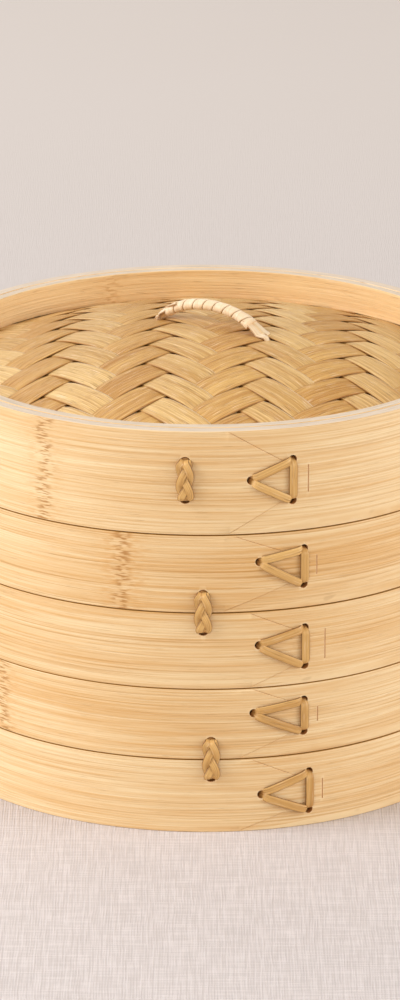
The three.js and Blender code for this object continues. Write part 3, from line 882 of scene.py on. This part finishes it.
# Each loose end of the winding, in millimetres: distance along the handle and offset across it at its start
# and end, width, and how much it is raised.
feet = {
    "spreadLeft": {"along": (15.0, 23.6), "across": (-1.1, -2.4), "width": 3.6, "over": -1.0},
    "spreadRight": {"along": (15.0, 26.2), "across": (1.4, 2.4), "width": 3.6, "over": -0.95},
    "crossedLeft": {"along": (-14.0, -22.4), "across": (1.5, -2.4), "width": 3.0, "over": 0.1},
    "crossedRight": {"along": (-13.5, -22.0), "across": (-1.5, 2.4), "width": 3.0, "over": -0.2},
    "tucked": {"along": (-16.5, -24.0), "across": (0.2, 0.6), "width": 2.4, "over": -0.3},
}


footShape = {"lift": 1.55, "clearance": 0.7 * mm, "dive": 2.2 * mm, "thickness": 0.6 * mm, "crown": 0.15 * mm}


def makeFeet():
    # Flat ends that leave the top of the arch, come down to the cover and go under its strips:
    # z = max(arch's line + lift + over, cover + clearance), less a dive in the last sixth.
    parts = []
    for k, foot in enumerate(feet.values()):
        t = np.linspace(0, 1, 40)
        along = (foot["along"][0] + (foot["along"][1] - foot["along"][0]) * t) * mm
        line = handleLine(along)
        across, _ = pathFrame(handleLine(np.sort(along)), upwards)
        side = (foot["across"][0] + (foot["across"][1] - foot["across"][0]) * smoothStep(t, 0.1, 1)) * mm
        plan = line[:, :2] + across[0, :2] * side[:, None]
        surface = domeHeight(plan[:, 0], plan[:, 1]) + footShape["clearance"]
        above = np.maximum(line[:, 2] + (footShape["lift"] + foot["over"]) * mm, surface)
        z = above - footShape["dive"] * smoothStep(t, 0.84, 1.0)
        points = np.concatenate([plan, z[:, None]], 1)
        taper = 0.75 + 0.25 * smoothStep(t, 0.0, 0.4) - 0.4 * smoothStep(t, 0.7, 1.0)
        size = (foot["width"] * mm * taper, footShape["thickness"])
        facing = pathFrame(points, upwards)
        parts.append(ribbonPart(points, *facing, *size, 80 + k, footShape["crown"], count=20, soot=0.7))
    return parts


def makeHandle():
    # The wound sleeve: radius = core + bulge * profile(turn), with turn = s / pitch - angle / 2 pi.
    start, end = handle["span"]
    s = np.linspace(start, end, handle["rows"])
    line = handleLine(s)
    across, normal = pathFrame(line, upwards)
    length = np.concatenate([[0], np.cumsum(np.linalg.norm(np.diff(line, axis=0), axis=1))])
    angle = np.arange(handle["around"]) / handle["around"] * 2 * math.pi
    turns = length[:, None] / handle["pitch"] - angle[None, :] / (2 * math.pi)
    share = turns % 1.0
    profile = np.clip(np.minimum(share, 1 - share) / 0.10, 0, 1) ** 0.5 + 0.25 * share
    thick = handle["core"] + handle["bulge"] * profile
    flat = 1 + 0.4 * smoothStep(s, end * 0.62, end * 0.98) + 0.25 * smoothStep(s, start * 0.8, start)
    shrink = 1 - 0.15 * smoothStep(s, start * 0.93, start)
    x = np.cos(angle)[None, :] * thick * (flat * shrink)[:, None] * 1.12
    y = np.sin(angle)[None, :] * thick * shrink[:, None]
    points = line[:, None] + across[:, None] * x[..., None] + normal[:, None] * y[..., None]
    around = np.append(angle, 2 * math.pi)[None, :]
    v = length[:, None] + 0 * around
    u = around * 2 * mm + np.floor(length[:, None] / handle["pitch"] - around / (2 * math.pi)) * 0.05
    # Painted shade in the grooves between turns: the cane's dark cut-edge colour is laid there.
    paintedGrooveShade = np.clip(1 - np.minimum(share, 1 - share) / 0.05, 0, 1)
    part = tubePart(points, u, v, paintedGrooveShade)
    piece = makePiece("handle_winding", [part, *makeFeet()], "cane", smoothAngle=50)
    settle(piece, "lid", "wrapping_cane", "handle_wrapping")


def makeCore():
    # The cane core, seen only where it enters the cover.
    line = handleLine(np.linspace(-caneCore["half"], caneCore["half"], 90))
    size = (caneCore["width"], caneCore["width"])
    part = ribbonPart(line, *pathFrame(line, upwards), *size, 3, count=20, power=1.0)
    piece = makePiece("handle_cane", [part], "slat", smoothAngle=50)
    settle(piece, "lid", "slat_bamboo", "handle_core")


makeHandle()
makeCore()
print("handle wound")


def strandPart(start, end, lift, seed):
    # A strand over the band between two holes given as (azimuth, height). It dives at both ends:
    # radius = band + lift - (lift + dive) * |2t - 1|^10.
    t = np.linspace(0, 1, 48)
    azimuth = start[0] + (end[0] - start[0]) * t
    height = start[1] + (end[1] - start[1]) * t
    out = lift - (lift + strandShape["dive"]) * np.abs(2 * t - 1) ** 10
    points = onCylinder(azimuth, bandRadius + out, height)
    across, normal = pathFrame(points, onCylinder(azimuth, 1.0, 0 * height))
    size = (strandShape["width"] * (1 - 0.22 * np.abs(2 * t - 1) ** 6), strandShape["thickness"])
    return ribbonPart(points, across, normal, *size, seed, strandShape["crown"], count=20, soot=0.8)


# Outer runs of a lacing: two hole numbers, how much the run is raised and how far its ends are above the
# holes' middles, in millimetres.
lacingRuns = ((0, 1, 0.0, (0.5, 0.0)), (1, 2, 0.1, (0.0, 0.0)), (0, 2, 0.3, (-0.6, -0.1)))


def makeLacing(node, lap):
    holes = lacingHoles(node)
    seed = lap["seed"]
    sides = []
    for k, (one, other, raised, shift) in enumerate(lacingRuns):
        start = holes[one]
        end = holes[other]
        length = math.hypot(math.radians(end[0] - start[0]) * bandRadius, end[1] - start[1])
        nudge = strandShape["nudge"] / length
        first = [start[i] + (end[i] - start[i]) * nudge + (0, shift[0] * mm)[i] for i in (0, 1)]
        last = [end[i] - (end[i] - start[i]) * nudge + (0, shift[1] * mm)[i] for i in (0, 1)]
        sides.append(strandPart(first, last, strandShape["lift"] + raised * mm, seed + k))
    for k in range(3):
        start = holes[k]
        end = holes[(k + 1) % 3]
        azimuth = np.linspace(start[0], end[0], 20)
        height = np.linspace(start[1], end[1], 20)
        points = onCylinder(azimuth, bandInside + strandShape["innerDepth"], height)
        outward = onCylinder(azimuth, 1.0, 0 * height)
        sides.append(runPart(points, outward, *strandShape["inner"], seed + 5 + k))
    tone = 0.35 + 0.04 * (seed % 5)
    piece = makePiece(lacingOf(node) + "_strands", sides, "rattan", smoothAngle=50, tone=tone)
    settle(piece, bodyOf(node), "rattan", lacingOf(node))


for node, lap in laps.items():
    makeLacing(node, lap)
print("bands laced")

# leg: section of the two upright runs inside, legSide from the middle; link: section of the runs through the
# wall.
plait = {
    "swing": 1.8 * mm, "depth": 0.6 * mm, "width": 2.7 * mm, "thickness": 0.8 * mm, "turns": 0.7,
    "steps": 110, "overrun": 0.7 * mm, "lift": 1.25 * mm, "dive": 3.6 * mm, "crown": 0.15 * mm,
    "legDepth": 0.9 * mm, "legSide": 0.95 * mm, "legOverrun": 0.8 * mm, "leg": (1.9 * mm, 0.9 * mm),
    "link": (2.2 * mm, 1.3 * mm),
}


def makeTie(node, body, seed):
    # A flat three-strand plait: strand k lies at swing * sin(p + 2 pi k / 3) across and
    # depth * sin(2p + 4 pi k / 3) out.
    azimuth, low, high = tieEnds(node)
    draw = np.random.default_rng(seed)
    t = np.linspace(0, 1, plait["steps"])
    reach = (high - low) / 2 + plait["overrun"]
    z = (high + low) / 2 + reach * (1 - 2 * t)
    ends = np.abs(2 * t - 1)
    gather = 1 - 0.5 * smoothStep(ends, 0.78, 1.0)
    lift = plait["lift"] - plait["dive"] * np.clip((ends - 0.86) / 0.14, 0, 1) ** 2
    parts = []
    begin = draw.uniform(-0.3, 0.3)
    for k in range(3):
        p = 2 * math.pi * plait["turns"] * t + 2 * math.pi * k / 3 + begin
        side = plait["swing"] * np.sin(p) * gather
        out = lift + plait["depth"] * np.sin(2 * p) * gather
        points = onCylinder(azimuth + np.degrees(side / bandRadius), bandRadius + out, z)
        outward = onCylinder(azimuth + 0 * t, 1.0, 0 * z)
        size = (plait["width"], plait["thickness"])
        facing = pathFrame(points, outward)
        parts.append(ribbonPart(points, *facing, *size, seed + k, plait["crown"], count=20, soot=1.0))
    depth = innerInside - plait["legDepth"]
    shift = tieShape["legShift"]
    over = shift + plait["legOverrun"]
    spread = np.linspace(high + over, low - over, 24)
    for side in (-plait["legSide"], plait["legSide"]):
        points = onCylinder(azimuth + math.degrees(side / depth) + 0 * spread, depth, spread)
        outward = onCylinder(azimuth + 0 * spread, 1.0, 0 * spread)
        parts.append(runPart(points, outward, *plait["leg"], seed + 7))
    radius = np.linspace(depth, bandRadius - mm, 12)
    for height in (low - shift, high + shift):
        points = onCylinder(azimuth, radius, height)
        parts.append(runPart(points, np.tile(upwards, (12, 1)), *plait["link"], seed + 9))
    piece = makePiece(node + "_plait", parts, "rattan", smoothAngle=50, tone=draw.uniform(0.3, 0.5))
    settle(piece, body, "rattan", node)


for body in bodies:
    for k, node in enumerate(tiesOf(body)):
        makeTie(node, body, 60 + k)
print("ties plaited")


floorShape = {"slats": 12, "rods": 2, "rod": 2.2 * mm, "steps": 60}


def slatPart(low, high, reach, seed):
    # A planed slat: a rounded oblong in x and z, carried along y between the arcs y = -+sqrt(reach^2 - x^2).
    x, y = superLoop(28, 0.32)
    centre = (low + high) / 2
    half = (high - low) / 2
    side = centre.x + x * half.x
    z = centre.z + y * half.z
    ends = np.sqrt(np.maximum(reach ** 2 - side ** 2, 0))
    t = np.linspace(-1, 1, floorShape["steps"])[:, None]
    distance = t * ends[None, :]
    points = np.stack([side[None, :] + 0 * t, distance, z[None, :] + 0 * t], -1)
    around = np.append(x * half.x + y * half.z, x[0] * half.x + y[0] * half.z)
    u = closedRows(distance) + 0.077 * seed
    v = around[None, :] + 0 * u + 0.29 * seed
    return tubePart(points[:, ::-1], u[:, ::-1], v[:, ::-1])


def makeFloor(tier, seed):
    draw = np.random.default_rng(seed)
    for k in range(1, floorShape["slats"] + 1):
        node = f"{tier}_slat_{k}"
        low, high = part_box(node)
        outer = max(abs(low.x), abs(high.x))
        inner = min(abs(low.x), abs(high.x))
        reach = math.hypot(inner, high.y)
        part = slatPart(low, high, max(reach, outer + 2 * mm), draw.uniform(0, 30))
        piece = makePiece(node + "_planed", [part], "slat", smoothAngle=50, tone=draw.uniform(0.25, 0.75))
        settle(piece, tier, "slat_bamboo", node)
    for k in range(1, floorShape["rods"] + 1):
        node = f"{tier}_rod_{k}"
        low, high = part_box(node)
        centre = (low + high) / 2
        s = np.linspace(low.x, high.x, 80)
        line = np.stack([s, centre.y + 0 * s, centre.z + 0 * s], -1)
        across = np.tile([0, -1.0, 0], (len(s), 1))
        normal = np.tile(upwards, (len(s), 1))
        size = (floorShape["rod"], floorShape["rod"])
        part = ribbonPart(line, across, normal, *size, draw.uniform(0, 30), count=20, power=0.9)
        piece = makePiece(node + "_whittled", [part], "slat", smoothAngle=50)
        settle(piece, tier, "slat_bamboo", node)


makeFloor("upper_tier", 71)
makeFloor("lower_tier", 72)
print("floors laid")

stage = {"half": 9.0, "steps": 60}


def makeStage():
    # A flat floor under a pale cloth, wide enough for every view: x and y over a square, z = 0.
    side = np.linspace(-stage["half"], stage["half"], stage["steps"])
    x, y = np.meshgrid(side, side, indexing="ij")
    points = np.stack([x, y, 0 * x], -1)
    floor = makePiece("tableCloth", [gridPart(points, points[..., 0], points[..., 1])], "linen")


# Place, aim, size, power and colour.
lights = {
    "window": ((-2.9, -0.72, 1.93), (0, 0, 0.08), 2.2, 114, (0.93, 1.0, 1.14)),
    "fill": ((2.9, -0.7, 1.24), (0, 0, 0.08), 2.2, 63, (0.95, 1.0, 1.10)),
    "front": ((-0.4, -2.3, 1.3), (0, 0, 0.08), 1.4, 11, (1.0, 0.88, 0.68)),
    "back": ((-0.8, 1.9, 1.7), (0, 0, 0.12), 1.4, 11, (1.0, 0.985, 0.97)),
}
sky = {"colour": (1.0, 0.965, 0.935, 1), "strength": 0.49}
rig = {
    "lens": 178.45, "sensor": 36, "distance": 1.8016, "elevation": 18.98, "aim": (-1.6 * mm, 0, 88 * mm),
    "clip": 50,
}


def face(item, towards):
    # Turns an object's -Z axis along a direction and adds it to the scene.
    item.rotation_euler = towards.to_track_quat("-Z", "Y").to_euler()
    bpy.context.scene.collection.objects.link(item)


def addLight(name, place, aim, size, power, colour):
    lamp = bpy.data.lights.new(name, "AREA")
    lamp.shape = "DISK"
    lamp.size = size
    lamp.energy = power
    lamp.color = colour
    light = bpy.data.objects.new(name, lamp)
    light.location = place
    face(light, Vector(aim) - Vector(place))


def addCamera():
    camera = bpy.data.objects.new("camera", bpy.data.cameras.new("camera"))
    camera.data.lens = rig["lens"]
    camera.data.sensor_width = rig["sensor"]
    camera.data.clip_end = rig["clip"]
    elevation = math.radians(rig["elevation"])
    back = Vector((0, -math.cos(elevation), math.sin(elevation))) * rig["distance"]
    camera.location = Vector(rig["aim"]) + back
    face(camera, -back)
    bpy.context.scene.camera = camera


def addWorld():
    world = bpy.data.worlds.new("studio")
    world.use_nodes = True
    background = world.node_tree.nodes["Background"]
    background.inputs["Color"].default_value = sky["colour"]
    background.inputs["Strength"].default_value = sky["strength"]
    bpy.context.scene.world = world


makeStage()
addCamera()
addWorld()
for name, look in lights.items():
    addLight(name, *look)
bpy.context.scene.view_settings.view_transform = "Standard"
print("stage set")
